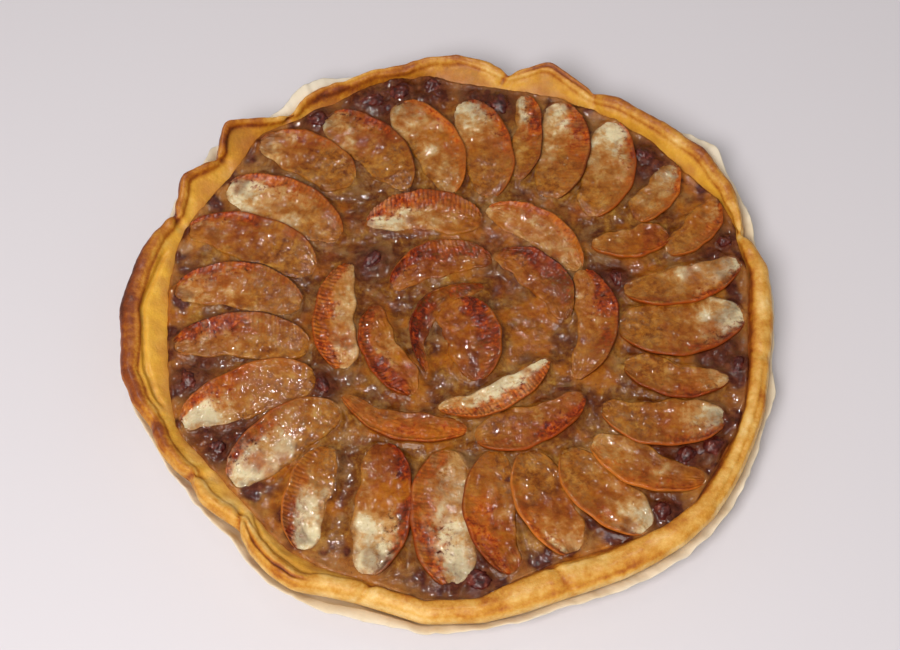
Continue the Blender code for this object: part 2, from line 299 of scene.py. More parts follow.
# how each broad stretch of the edge is folded and baked: bearing of its middle, width of its top, how far
# its inner face drops, then 0 pale to 1 brown for outer edge, top, inner edge and inner slope, and last
# how bright a yellow the slope is. The inner edge and slope values are partly browning and partly painted
# shade, darker where the inner wall lies in shade
stretchColumns = ("bearing", "width", "drop", "outer", "top", "inner", "slope", "yolk")
crustStretches = (
    (5, 9.5, 3.5, 0.28, 0.34, 0.64, 0.98, 0.0), (30, 8.0, 2.5, 0.36, 0.48, 0.34, 0.48, 0.8),
    (50, 7.0, 2.5, 0.60, 0.62, 0.48, 0.54, 0.5), (80, 6.5, 2.5, 0.54, 0.60, 0.42, 0.54, 0.4),
    (110, 5.0, 4.0, 0.42, 0.46, 0.74, 0.66, 0.0), (145, 5.0, 3.5, 0.66, 0.56, 0.60, 0.48, 0.5),
    (180, 9.5, 2.5, 0.82, 0.78, 0.58, 0.30, 1.0), (210, 5.5, 2.5, 0.44, 0.62, 0.40, 0.38, 0.5),
    (240, 8.0, 2.5, 0.28, 0.30, 0.22, 0.22, 0.5), (260, 8.5, 3.0, 0.20, 0.36, 0.64, 0.72, 0.0),
    (290, 14.0, 2.0, 0.24, 0.40, 0.42, 0.74, 0.0), (330, 9.0, 3.5, 0.22, 0.30, 0.64, 0.98, 0.0),
)

# lines pressed or cracked along the edge: from bearing, to bearing, inset from the outside, depth, half width
crustLines = (
    (165, 200, 11.0, 1.7, 0.9), (230, 245, 4.5, 1.1, 0.8), (230, 245, 9.5, 1.0, 0.8), (60, 75, 4.0, 0.6, 0.8),
    (95, 120, 4.0, 0.5, 0.9), (275, 305, 2.5, 0.5, 1.1), (320, 350, 3.5, 0.5, 1.1),
)


def alongCrust(bearings, column):
    values = dict(zip(stretchColumns, zip(*crustStretches)))
    return np.interp(bearings, values["bearing"], values[column], period=360)


def stationsIn(degrees):
    return degrees * crust["stations"] / 360


def circularBlur(values, reach):
    # evens values out along the first axis, which runs all the way round
    steps = int(math.ceil(3 * reach))
    offsets = np.arange(-steps, steps + 1)
    weights = np.exp(-0.5 * (offsets / max(reach, 1e-6)) ** 2)
    weights /= weights.sum()
    total = np.zeros_like(values)
    for offset, weight in zip(offsets, weights):
        total += weight * np.roll(values, offset, axis=0)
    return total


def sectionBlur(values, times):
    for _ in range(times):
        inner = 0.25 * values[:, :-2] + 0.5 * values[:, 1:-1] + 0.25 * values[:, 2:]
        values = np.concatenate([values[:, :1], inner, values[:, -1:]], axis=1)
    return values


def measureCrust(tree):
    # the CAD crust's foot, widest reach, top and custard edge at every station, in millimetres
    bearings = np.arange(crust["stations"]) * 360.0 / crust["stations"]
    rows = []
    for bearing in np.radians(bearings):
        outward = wayOut(bearing)
        foot = reachAt(tree, outward, crust["footHeight"])
        belly = max(reachAt(tree, outward, height) for height in crust["bellyHeights"])
        top = max(heightAt(tree, outward, belly - inset) for inset in crust["topInsets"])
        inside = tree.ray_cast(Vector((0, 0, crust["edgeHeight"] * mm)), outward)[0].xy.length / mm
        rows.append((foot, belly, top, inside))
    return bearings, circularBlur(np.array(rows), stationsIn(crust["foldRounding"]))


def crustSections(bearings, measured, base):
    # reach, height and place along the section of every point, from the foot over the rim to the floor
    foot, belly, top, edge = measured.T
    width = alongCrust(bearings, "width") - crust["foldNarrowing"] * np.abs(standingOut(belly))
    width = np.minimum(np.maximum(width, crust["leastWidth"]), belly - edge - 0.8)
    widest = top - crust["bellyDrop"]
    slope = np.maximum(belly - width - edge, 0.0)
    ledge = np.minimum(alongCrust(bearings, "drop"), 0.75 * (top - crust["ledgeLimit"]))
    level = np.ones(len(bearings))
    corners = np.stack([np.stack(pair, -1) for pair in (
        (foot, level * base),
        (foot + 0.55 * (belly - foot), base + 0.34 * (widest - base)),
        (foot + 0.86 * (belly - foot), base + 0.68 * (widest - base)),
        (belly, widest + 0.8),
        (belly - 0.4, top - 3.6),
        (belly - 1.2, top - 1.5),                  # outer edge of the top
        (belly - 0.45 * width, top + 0.1),
        (belly - 0.8 * width, top - 0.4),
        (belly - width, top - 1.3),                # inner edge of the top
        (belly - width - np.minimum(0.8, 0.3 * slope), top - 1.3 - 0.6 * ledge),
        (belly - width - np.minimum(2.4, 0.55 * slope), top - 1.3 - ledge),
        (edge, level * crust["custardLine"]),
        (edge - 1.2, level * crust["hiddenLine"]),
        (edge - 5.0, level * base + crust["floorThick"]),
    )], 1)
    rows = crust["segmentRows"]
    steps = np.concatenate([np.arange(n) / n + corner for corner, n in enumerate(rows)] + [[len(rows)]])
    marks = np.arange(corners.shape[1])
    reach = np.array([np.interp(steps, marks, row[:, 0]) for row in corners])
    height = np.array([np.interp(steps, marks, row[:, 1]) for row in corners])
    return steps, sectionBlur(reach, 5), sectionBlur(height, 5)


def standingOut(belly):
    # how far each station stands out from the general round of the edge
    return belly - circularBlur(belly, stationsIn(crust["evenRound"]))


def findCreases(bearings, belly):
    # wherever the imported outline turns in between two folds: bearing and depth
    out = standingOut(belly)
    creases = []
    window = int(stationsIn(crust["creaseWindow"]))
    for station, value in enumerate(out):
        around = np.take(out, range(station - window, station + window + 1), mode="wrap")
        if value == around.min() and value < -crust["turnIn"]:
            share = min(-value / crust["fullTurnIn"], crust["creaseMost"])
            creases.append((bearings[station], crust["creaseDepth"] * share))
    return creases


def pressedLines(b, u, inset):
    # b is the bearing of each point, and u its place along the section, counted in corners from the foot
    onTop = plateau(u, 4.2, 5.2, 11.0, 12.0)
    relief, line = np.zeros_like(b), np.zeros_like(b)
    for start, stop, place, depth, halfWidth in crustLines:
        along = onTop * plateau(b, start - 2, start + 3, stop - 3, stop + 2)
        groove = along * bump(inset, place, halfWidth)
        ridge = along * bump(inset, place - 2.2 * halfWidth, 1.2 * halfWidth)
        relief += depth * (0.35 * ridge - groove)
        line = np.maximum(line, depth * groove)
    return relief, line


def foldCreases(b, u, creases):
    # creases lean to either side by turns, with a low ridge on both sides
    overWall = plateau(u, 1.0, 3.5, 9.5, 11.0)
    halfWidth = crust["creaseWidth"]
    relief, line = np.zeros_like(b), np.zeros_like(b)
    for index, (place, depth) in enumerate(creases):
        lean = crust["creaseLean"] * (1 - 2 * (index % 2))
        away = (b - place - lean * (u - 6) / 5 + 180) % 360 - 180
        ridges = bump(np.abs(away), 2.2 * halfWidth, halfWidth)
        relief += depth * overWall * (0.3 * ridges - bump(away, 0, halfWidth))
        line = np.maximum(line, 0.8 * depth * overWall * bump(away, 0, 0.7 * halfWidth))
    return relief, line


def crustRelief(bearings, steps, reach, height, belly):
    # how far each point stands out from the plain form, in millimetres, where it lies, and how far it is
    # in a line or crease
    b, u = np.meshgrid(bearings, steps, indexing="ij")
    points = np.stack([reach * np.cos(np.radians(b)), reach * np.sin(np.radians(b)), height], -1)
    wander = 0.7 * roughness(points[:, len(steps) // 2], 11, 4, 2)[:, None]
    pressed, line = pressedLines(b, u, belly[:, None] - reach + wander)
    folded, crease = foldCreases(b, u, findCreases(bearings, belly))
    relief = layered(points.reshape(-1, 3), *crust["unevenness"]).reshape(b.shape) + pressed + folded
    behindPaper = crust["flankRelief"] + (1 - crust["flankRelief"]) * smoothStep(2.4, 3.6, u)
    relief *= behindPaper * plateau(u, 0.0, 1.0, 11.5, 12.5)
    return relief, points, np.maximum(line, crease)


def crustShades(bearings, steps, relief, line, points, belly):
    # how brown and how yellow each point is, with painted shade on the inner wall and a painted highlight on
    # the inner shoulder of the top laid into the browning, and how far custard coats it
    b, u = np.meshgrid(bearings, steps, indexing="ij")
    bakeAndPaintedLight = np.zeros_like(b)
    total = np.zeros_like(b)
    # the inner edge and slope values bring painted shade of the inner wall along with the browning
    for place, column in zip(crust["shadePlaces"], ("outer", "top", "inner", "slope")):
        share = bump(u, place, 1.0) + 1e-6
        bakeAndPaintedLight += share * alongCrust(b, column)
        total += share
    bakeAndPaintedLight = bakeAndPaintedLight / total
    wall = 1 - smoothStep(1.5, 4.6, u)
    bakeAndPaintedLight = bakeAndPaintedLight * (1 - wall) + (0.55 * bakeAndPaintedLight + 0.05) * wall
    # darker along the outer and inner edges of the top, and paler on the inner shoulder of the top: a painted
    # highlight
    bakeAndPaintedLight += 0.14 * bump(u, 5.0, 0.45) - 0.08 * bump(u, 7.6, 0.6) + 0.10 * bump(u, 8.7, 0.4)
    bakeAndPaintedLight += 0.42 * np.clip(line, 0, 1.2) + 0.10 * np.clip(relief, -1, 1)
    bakeAndPaintedLight += crust["lobeBrowning"] * standingOut(belly)[:, None] * smoothStep(3.5, 5.5, u)
    flat = points.reshape(-1, 3)
    bakeAndPaintedLight += layered(flat, *crust["blotches"]).reshape(b.shape)
    yolk = alongCrust(b, "yolk") * smoothStep(8.6, 10.0, u)
    coated = smoothStep(9.9, 11.2, u + (0.7 * roughness(flat, 8, 8, 3)).reshape(b.shape))
    return {"bakeAndPaintedLight": np.clip(bakeAndPaintedLight, 0, 1), "yolk": np.clip(yolk, 0, 1), "coated": coated}


def buildCrust():
    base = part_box("crust")[0].z / mm
    bearings, measured = measureCrust(rayTree("crust"))
    belly, edge = measured[:, 1], measured[:, 3]
    steps, reach, height = crustSections(bearings, measured, base)
    relief, points, line = crustRelief(bearings, steps, reach, height, belly)
    layers = crustShades(bearings, steps, relief, line, points, belly)
    alongReach, alongHeight = np.gradient(reach, axis=1), np.gradient(height, axis=1)
    stretch = np.maximum(np.hypot(alongReach, alongHeight), 1e-6)
    reach = reach + relief * alongHeight / stretch
    height = np.maximum(height - relief * alongReach / stretch, base)
    flank = steps <= crust["paperEdge"]
    outside = {"reach": reach[:, flank], "height": np.maximum.accumulate(height[:, flank], axis=1)}
    mesh = spunMesh("pastryShell", *wholeSection(reach, height, base, layers))
    return mesh, {"bearings": bearings, "reach": edge, "cover": custardCover(outside, edge)}, outside


def custardCover(outside, edge):
    # how far the custard goes on under the slope at every station
    pairs = zip(outside["height"], outside["reach"])
    outerFace = np.array([np.interp(crust["hiddenHeight"], *pair) for pair in pairs])
    return np.clip(outerFace - edge - crust["custardInset"], *crust["custardCover"])


def wholeSection(reach, height, base, layers):
    # from the middle of the underside round the rim to the middle of the floor
    shares = crust["floorRings"]
    below = towardsMiddle(reach[:, 0], shares)
    above = towardsMiddle(reach[:, -1], reversed(shares))
    floor = np.full(above.shape, base + crust["floorThick"])
    ends = np.full(below.shape, crust["hiddenShade"])
    layers = {key: np.concatenate([ends, values, ends], 1) for key, values in layers.items()}
    height = np.concatenate([np.full(below.shape, base), height, floor], 1)
    return np.concatenate([below, reach, above], 1), height, layers


def towardsMiddle(ring, shares):
    return np.stack([ring * share for share in shares], 1)


def spunMesh(name, reach, height, layers):
    # a spun profile whose points are then moved to the reach and height of their station
    stations, rows = reach.shape
    bm = bmesh.new()
    chain = [bm.verts.new((0.1 + row * mm, 0.0, row * mm)) for row in range(rows)]
    edges = [bm.edges.new(pair) for pair in zip(chain, chain[1:])]
    bmesh.ops.spin(bm, geom=chain + edges, cent=(0, 0, 0), axis=(0, 0, 1), angle=2 * math.pi,
                   steps=stations, use_merge=True, use_duplicate=False)
    holders = {key: bm.verts.layers.float.new(key) for key in layers}
    for vert in bm.verts:
        row = round(vert.co.z / mm)
        turn = math.atan2(vert.co.y, vert.co.x)
        station = round(turn / (2 * math.pi) * stations) % stations
        bearing = 2 * math.pi * station / stations
        distance = reach[station, row] * mm
        vert.co = (distance * math.cos(bearing), distance * math.sin(bearing), height[station, row] * mm)
        for key, holder in holders.items():
            vert[holder] = layers[key][station, row]
    bmesh.ops.remove_doubles(bm, verts=bm.verts, dist=0.001 * mm)
    bmesh.ops.recalc_face_normals(bm, faces=bm.faces)
    return toMesh(bm, name)


def pastryFinish():
    finish, tree, shader = startMaterial("bakedPastry", {
        "Roughness": 0.5, "IOR": 1.45, "Specular IOR Level": 0.25, "Subsurface Weight": 0.12,
        "Subsurface Scale": 0.002, "Subsurface Radius": (1.0, 0.5, 0.2), "Coat Weight": 0.12,
        "Coat Roughness": 0.3})
    fine = noiseField(tree, 1.6, 4, 0.65)
    broad = noiseField(tree, 9, 3, 0.5)
    # the painted layer is browning, with painted shade on the inner wall and a painted highlight on the inner
    # shoulder of the top
    bakeAndPaintedLight = vary(tree, "bakeAndPaintedLight", fine, -0.09, 0.08)
    bakeAndPaintedLight = vary(tree, bakeAndPaintedLight, broad, -0.12, 0.12, True)
    colour = colourRamp(tree, bakeAndPaintedLight, (0.00, 238, 203, 138), (0.22, 223, 174, 90), (0.42, 204, 141, 46),
                        (0.60, 176, 102, 16), (0.78, 136, 62, 8), (1.00, 84, 32, 6))
    yolk = spread(tree, broad, 0.25, 0.75, 0.55, 1.0)
    colour = tint(tree, colour, "yolk", yolk, srgb(240, 184, 58))
    colour = tint(tree, colour, "coated", 0.6, srgb(176, 104, 46))
    specks = spread(tree, noiseField(tree, 0.9, 2, 0.5), 0.66, 0.74)
    colour = tint(tree, colour, specks, 0.25, srgb(128, 66, 24))
    normal = bumpFrom(tree, noiseField(tree, 2.4, 5, 0.6), 0.45, 0.8)
    normal = bumpFrom(tree, noiseField(tree, 0.6, 3, 0.6), 0.10, 0.6, normal)
    plug(tree, shader, {"Base Color": colour, "Roughness": fromNoise(tree, broad, 0.42, 0.60),
                        "Normal": normal})
    return finish


crustMesh, rimEdge, crustFlank = buildCrust()
addPiece(crustMesh, pastryFinish(), "pastry", "crust")
print("crust built:", len(crustMesh.polygons), "faces")


# scorching, syrup, juice and pale flesh, shared by the apple and the custard: each is patches of its own
# size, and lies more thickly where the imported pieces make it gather
stains = {
    "scorchSize": 13,
    "scorchCover": 0.12,     # a higher value leaves less of it
    "amberSize": 15,
    "amberCover": 0.10,
    "plumSize": 11,
    "plumCover": -0.10,
    "plumBand": 23,          # juice gathers within this distance of the crust
    "raisinHalo": 8,
    "creamSize": 13,
    "creamCover": 0.16,
}


def patches(points, size, cover, seed):
    return smoothStep(cover, cover + 0.60, roughness(points, size, seed, 3))


def rimAt(bearing, key="reach"):
    # where the custard's edge lies at a bearing, or how far it goes on under the crust
    return np.interp(bearing, rimEdge["bearings"], rimEdge[key], period=360)


def nearestRaisin(points):
    away = np.full(len(points), 1e3)
    for x, y, reach in raisinPlaces:
        away = np.minimum(away, np.hypot(points[:, 0] - x, points[:, 1] - y) - 0.6 * reach)
    return np.maximum(away, 0)


def paintMarks(mesh, points):
    # points in millimetres
    bearing, reach = bearingAndReach(points)
    middling = 1 - smoothStep(40, 125, reach)
    byRim = 1 - smoothStep(0.4 * stains["plumBand"], stains["plumBand"], rimAt(bearing) - reach)
    outward = smoothStep(45, 105, reach)
    for seed, (name, share) in enumerate((
            ("scorch", 0.55 + 0.45 * middling), ("amber", 1.0),
            ("plum", 0.25 + 0.75 * byRim), ("cream", 0.35 + 0.65 * outward)), 71):
        mark = patches(points, stains[name + "Size"], stains[name + "Cover"], seed) * share
        if name == "plum":
            mark = np.maximum(mark, 0.85 * np.exp(-((nearestRaisin(points) / stains["raisinHalo"]) ** 2)))
        paint(mesh, name, mark)


markColours = {
    "amber": ((0.25, 140, 62, 2), (0.50, 164, 90, 8), (0.75, 188, 120, 28)),
    "scorch": ((0.25, 78, 18, 2), (0.45, 124, 40, 6), (0.70, 172, 80, 22)),
    "plum": ((0.25, 42, 8, 4), (0.50, 72, 24, 14), (0.75, 112, 56, 36)),
}


def coverWithMarks(tree, colour, mottle, grain, shares):
    # the marks laid over a colour, each broken up by the mottle and the grain
    edges = vary(tree, fromNoise(tree, mottle, -0.30, 0.22), grain, -0.16, 0.16)
    for name, stops in markColours.items():
        strength = maths(tree, "MULTIPLY", name, 1.15)
        strength = maths(tree, "ADD", strength, maths(tree, "MULTIPLY", edges, name), True)
        tone = colourRamp(tree, noiseField(tree, 3.2, 3, 0.6), *stops)
        colour = tint(tree, colour, strength, shares[name], tone)
    return colour


# apple slices

apple = {
    "around": 60,
    "along": 92,
    "skinTop": 23.5,     # height of the skin edge, in the middle of a slice
    "coreTop": 21.3,
    "tipTop": 19.8,
    "base": 14.0,
    "sag": 0.5,          # the cut face sinks between its edges by this much
    "rounding": 2.6,     # power of the curve that rounds the tips, seen from above
    "wobble": 0.75,      # unevenness of the outline
    "waves": 0.85,       # slow unevenness of the flesh
    "wrinkles": 0.17,    # creases that run along the slice
    "wrinkleSize": (4.5, 1.6),     # along it and across
    "grain": 0.20,       # fine shrivelled grain
    "notchDepth": 0.7,
    "notchSpacing": 1.9,
    "paleMiddle": 0.50,
    "paleContrast": 1.55,
    "bandSpread": 1.35,  # the browned band is this many times as wide as stated
    "bandFade": (0.22, 0.14),      # how softly it starts, before and past its edge
    "syrupFills": 0.75,  # share of the unevenness that it hides
    "lip": 0.45,         # the dried skin edge stands up by this much
    "groove": 0.3,       # and the flesh beside it sinks
    "tipSpread": 0.8,    # the baked face reaches this far past its packed tips
    "coreTuck": 0.8,     # its core edge runs this far under the next slice's skin
    "coreMost": 5.5,
    "coreLeast": 0.4,
    "skinShare": 0.3,    # of the gap beyond its skin that it takes up
    "skinMost": 0.8,
    "roomPlace": 0.6,    # the gaps are measured at this share of its half length, on either side
    "roomSearch": (9.0, 0.4),      # how far, and in what steps
    "rimGap": 1.0,       # to the crust
    "tipDepth": 0.8,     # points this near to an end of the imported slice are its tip
    "crestDepth": 0.6,   # and this near to its top, its skin edge
    "waist": 0.04,       # share of its half length in which its width and bend are measured
    "tipFall": 7,        # power of the curve by which its top falls to the tips
    "faceCurve": 1.3,    # and of its rise from core to skin
    "tilt": 0.9,         # of the face across the slice, up to this much to either side
    "pitch": 0.8,        # and along it
    "edgeRound": 0.14,   # share of the face that rounds over to the sides
    "tipRise": 3.0,      # the underside comes up towards the tips
}

# how each slice of a ring is baked, in the order of their numbers: paleness at its start, middle and end,
# width of the browned band along the skin as a share of the slice, how dark the band is, how dark the skin
# is, and how notched the band is. A few values also hold painted highlight: the pale skin of outer slice 6
# and the pale outer ends of outer slices 10 and 21 stand partly for wet highlights
ringLooks = {
    "outer": (
        (0.35, 0.50, 0.75, 0.14, 0.55, 0.40, 0.4), (0.20, 0.35, 0.85, 0.10, 0.55, 0.50, 0.2),
        (0.30, 0.30, 0.60, 0.10, 0.60, 0.60, 0.1), (0.20, 0.30, 0.80, 0.14, 0.40, 0.30, 0.4),
        # outer slice 6: its pale skin is partly a painted highlight along the skin edge
        (0.55, 0.30, 0.35, 0.12, 0.10, 0.05, 0.0), (0.30, 0.30, 0.80, 0.08, 0.30, 0.10, 0.1),
        (0.25, 0.25, 0.60, 0.08, 0.25, 0.05, 0.1), (0.25, 0.30, 0.30, 0.40, 0.25, 0.60, 0.3),
        # outer slice 10: its pale start, the outer end, is partly a painted highlight
        (0.55, 0.70, 0.75, 0.28, 0.45, 0.50, 0.5), (0.90, 0.45, 0.20, 0.16, 0.75, 0.50, 0.2),
        (0.25, 0.68, 0.85, 0.22, 0.25, 0.10, 0.8), (0.20, 0.62, 0.95, 0.20, 0.55, 0.30, 0.3),
        (0.25, 0.38, 0.85, 0.22, 0.30, 0.20, 0.3), (0.28, 0.42, 0.50, 0.30, 0.55, 0.85, 0.5),
        (0.30, 0.42, 0.55, 0.16, 0.55, 1.00, 0.5), (0.25, 0.25, 0.55, 0.16, 0.50, 0.40, 0.4),
        (0.40, 0.52, 0.72, 0.16, 0.35, 0.50, 0.5), (0.20, 0.28, 0.70, 0.08, 0.35, 0.30, 0.1),
        (0.20, 0.30, 0.60, 0.12, 0.60, 0.60, 0.2), (0.55, 0.42, 0.60, 0.12, 0.15, 0.15, 0.2),
        # outer slice 21: its pale end, the outer end, is partly a painted highlight
        (0.30, 0.38, 0.80, 0.12, 0.40, 0.30, 0.3), (0.25, 0.40, 0.70, 0.35, 0.50, 0.80, 0.3),
        (0.20, 0.42, 0.80, 0.30, 0.30, 0.70, 0.4), (0.30, 0.50, 0.80, 0.10, 0.35, 0.40, 0.1),
        (0.40, 0.55, 0.65, 0.12, 0.30, 0.30, 0.1), (0.30, 0.35, 0.60, 0.20, 0.35, 0.30, 0.3),
        (0.50, 0.30, 0.20, 0.12, 0.40, 0.30, 0.0),
    ),
    "middle": (
        (0.30, 0.55, 0.80, 0.30, 0.45, 0.35, 0.9), (0.50, 0.45, 0.50, 0.14, 0.20, 0.10, 0.3),
        (0.25, 0.35, 0.40, 0.30, 0.60, 0.70, 0.4), (0.25, 0.30, 0.40, 0.24, 0.55, 0.40, 0.3),
        (0.35, 0.25, 0.35, 0.40, 0.15, 0.60, 0.2), (0.55, 0.60, 0.55, 0.32, 0.35, 0.40, 1.0),
    ),
    "inner": (
        (0.15, 0.25, 0.35, 0.34, 0.66, 0.25, 0.5), (0.12, 0.22, 0.45, 0.34, 0.85, 0.90, 0.3),
        (0.60, 0.75, 0.75, 0.34, 0.20, 0.30, 0.9), (0.25, 0.45, 0.35, 0.34, 0.60, 0.50, 0.6),
        (0.20, 0.20, 0.20, 0.50, 0.80, 0.80, 0.4), (0.12, 0.20, 0.30, 0.34, 0.70, 0.25, 0.3),
    ),
}
sliceLooks = {"{}_slice_{:02d}".format(ring, number): looks
              for ring, rows in ringLooks.items() for number, looks in enumerate(rows, 1)}


def sliceFrame(nodeName):
    # where a slice lies, from its CAD solid: the skin is on the right, seen from its start
    points = perVertex(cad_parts[nodeName].data, "co") / mm
    flat = points[:, :2]
    apart = ((flat[:, None] - flat[None]) ** 2).sum(-1)
    first, last = np.unravel_index(apart.argmax(), apart.shape)
    rough = (flat[last] - flat[first]) / math.sqrt(apart.max())
    reach = flat @ rough
    start = flat[reach < reach.min() + apple["tipDepth"]].mean(0)
    end = flat[reach > reach.max() - apple["tipDepth"]].mean(0)
    high = flat[points[:, 2] > points[:, 2].max() - apple["crestDepth"]].mean(0)
    along = (end - start) / math.hypot(*(end - start))
    if (high - flat.mean(0)) @ np.array((along[1], -along[0])) < 0:
        start, end, along = end, start, -along
    toSkin = np.array((along[1], -along[0]))
    place = {"middle": 0.5 * (start + end), "along": along, "toSkin": toSkin,
             "half": 0.5 * math.hypot(*(end - start)), "spread": (0, 0, 0, 0)}
    t, w = sliceCoordinates(place, points)
    across = w[np.abs(t) < apple["waist"]]
    place["bend"] = 0.5 * (across.max() + across.min())
    place["width"] = across.max() - across.min()
    return place


def sliceCoordinates(place, points):
    away = points[:, :2] - place["middle"]
    return away @ place["along"] / place["half"], away @ place["toSkin"]


def sliceEdges(place, t):
    # how far the core edge and the skin edge stand to the right of the line from tip to tip
    t = np.clip(t, -1, 1)
    coreStart, coreEnd, skinStart, skinEnd = place["spread"]
    cap = np.sqrt(1 - np.abs(t) ** apple["rounding"])
    share = np.clip((t + apple["roomPlace"]) / (2 * apple["roomPlace"]), 0, 1)
    arch = place["bend"] * (1 - t * t)
    core = arch - (0.5 * place["width"] + coreStart + share * (coreEnd - coreStart)) * cap
    skin = arch + (0.5 * place["width"] + skinStart + share * (skinEnd - skinStart)) * cap
    turn = place["half"] + place["width"]       # shifts the waves, so that each slice wobbles differently
    wobble = apple["wobble"] * cap
    core = core + wobble * (np.sin(6.3 * t + turn) + 0.6 * np.sin(13.7 * t + 2.3 * turn))
    skin = skin + 0.5 * wobble * (np.sin(5.1 * t + 3.1 * turn) + 0.6 * np.sin(11.9 * t + 1.7 * turn))
    return core, skin


def roomBeside(name, places, t, side):
    # clear distance from an edge of a slice to its neighbour, or to the crust
    place = places[name]
    edge = sliceEdges(place, np.array([t]))[side][0]
    steps = np.arange(0.0, *apple["roomSearch"])
    w = edge + steps * (1 if side else -1)
    flat = place["middle"] + t * place["half"] * place["along"] + np.outer(w, place["toSkin"])
    bearing, reach = bearingAndReach(flat)
    taken = reach > rimAt(bearing) - apple["rimGap"]
    for other, there in places.items():
        if other != name:
            otherT, otherW = sliceCoordinates(there, flat)
            low, high = sliceEdges(there, otherT)
            taken |= (np.abs(otherT) < 1) & (otherW > low) & (otherW < high)
    return steps[taken.argmax()] if taken.any() else 0.0


def settleSlices():
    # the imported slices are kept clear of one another, so the baked ones spread into the gaps
    places = {name: sliceFrame(name) for name in sorted(sliceLooks)}
    ends = (-apple["roomPlace"], apple["roomPlace"])
    spreads = {}
    for name in places:
        core = [coreSpread(roomBeside(name, places, t, 0)) for t in ends]
        skin = [min(apple["skinShare"] * roomBeside(name, places, t, 1), apple["skinMost"])
                for t in ends]
        spreads[name] = (*core, *skin)
    for name, place in places.items():
        place["spread"] = spreads[name]
        place["half"] += apple["tipSpread"]
    return places


def coreSpread(gap):
    if gap:
        return min(gap + apple["coreTuck"], apple["coreMost"])
    return apple["coreLeast"]


def sliceSection(turn):
    # a section's outline as shares: across from core (-1) to skin (1), and up from base (0) to top (1)
    marks = (0.0, 0.60, 0.72, 0.88, 1.0)      # shares of the turn: the face takes up the first 0.60
    return np.interp(turn, marks, (-1.0, 1.0, 0.72, -0.80, -1.0)), np.interp(turn, marks, (1, 1, 0, 0, 1))


def sliceForm(place, turn, t, seed):
    # every point of a slice, in millimetres, before its relief
    across, level = sliceSection(turn)
    core, skin = sliceEdges(place, t)
    w = core + (skin - core) * 0.5 * (across + 1)
    lift = np.sqrt(1 - np.abs(t) ** apple["tipFall"])
    rise = (0.5 * (across + 1)) ** apple["faceCurve"]
    edge = apple["coreTop"] + (apple["skinTop"] - apple["coreTop"]) * rise
    tilt = apple["tilt"] * noise.noise(Vector((seed, 3.3, 0)))
    pitch = apple["pitch"] * noise.noise(Vector((seed, 9.1, 0)))
    edge += tilt * across + pitch * t
    top = apple["tipTop"] + (edge - apple["tipTop"]) * lift
    top -= apple["sag"] * np.clip(1 - across ** 2, 0, 1) * lift
    rim = np.clip((np.abs(across) - (1 - apple["edgeRound"])) / apple["edgeRound"], 0, 1)
    top -= 1 - np.sqrt(1 - 0.96 * rim ** 2)
    base = apple["base"] + apple["tipRise"] * t ** 2
    height = base + (top - base) * level
    flat = place["middle"] + np.outer(t * place["half"], place["along"]) + np.outer(w, place["toSkin"])
    return np.column_stack([flat, height]), across


def skinBand(points, across, fibreAlong, band, notches, seed):
    # where the browned band starts across the slice, how far each point is in it, and how far in a notch
    wander = 0.30 * roughness(points, 9, seed + 11, 2)
    bandEdge = 1 - 2 * apple["bandSpread"] * band * (1 + 1.3 * wander)
    ragged = across + 0.16 * roughness(points, 2.4, seed + 12, 2)
    before, past = apple["bandFade"]
    inBand = smoothStep(bandEdge - before, bandEdge + past, ragged)
    ridge = 0.5 + 0.5 * np.cos(2 * math.pi * fibreAlong / apple["notchSpacing"]
                               + 2.8 * roughness(points, 6, seed + 13))
    notch = notches * inBand * smoothStep(0.55, 0.95, ridge) * smoothStep(-1, 1.0, across)
    return bandEdge, inBand, notch


def sliceFilm(points, middle, t, across, start, seed):
    # how far syrup and custard cover a slice, from its core edge and its start
    uneven = 0.35 * roughness(points, 7, seed + 20, 3)
    film = smoothStep(-0.70, -1.05, across + uneven) * 0.7
    film += smoothStep(0.35, -0.50, t + uneven) * (0.95 - start)
    return np.clip(film, 0, 0.85) * (0.25 + 0.75 * smoothStep(25, 90, math.hypot(*middle)))


def sliceRelief(points, normals, place, t, across, level, looks, seed):
    # how far each point stands out from the plain form, and what is painted on it
    start, middle, end, band, dark, skin, notches = looks
    fibreAlong, fibreAcross = t * place["half"], across * 0.5 * place["width"]
    bandEdge, inBand, notch = skinBand(points, across, fibreAlong, band, notches, seed)
    film = sliceFilm(points, place["middle"], t, across, start, seed)
    lift = layered(points, (apple["waves"], 7, seed + 15, 2), (apple["grain"], 1.9, seed + 16, 2))
    long, wide = apple["wrinkleSize"]
    drawn = np.column_stack([fibreAlong / long, fibreAcross / wide, 0 * t])
    lift -= apple["wrinkles"] * (1 - 2 * np.abs(roughness(drawn, 1, seed + 21, 2)))
    lift += apple["lip"] * bump(across, 0.90, 0.1) - apple["groove"] * bump(across, 0.62, 0.16)
    lift -= apple["notchDepth"] * notch
    lift *= smoothStep(0.2, 0.7, normals[:, 2]) * level * (1 - apple["syrupFills"] * film)
    pale = np.interp(t, (-1, 0, 1), (start, middle, end))
    pale = apple["paleMiddle"] + apple["paleContrast"] * (pale - 0.42)
    pale = pale + 0.16 * roughness(points, 7, seed + 17, 3) - 0.20 * inBand
    onSkin = smoothStep(0.90, 0.98, across) + (1 - level) * (across > 0)
    return lift, {
        "pale": np.clip(pale, 0, 1),
        "band": np.clip(inBand * (0.80 + 0.45 * roughness(points, 3.5, seed + 18)), 0, 1),
        "fringe": smoothStep(bandEdge - 0.9, bandEdge, across),
        "bandDark": np.clip(dark + 0.24 * roughness(points, 5, seed + 19, 2), 0, 1),
        "skin": np.clip(onSkin, 0, 1),
        "skinDark": np.full(len(points), skin),
        "notch": np.clip(notch, 0, 1),
        "film": film * level,
        "fibreAlong": fibreAlong,
        "fibreAcross": fibreAcross,
    }


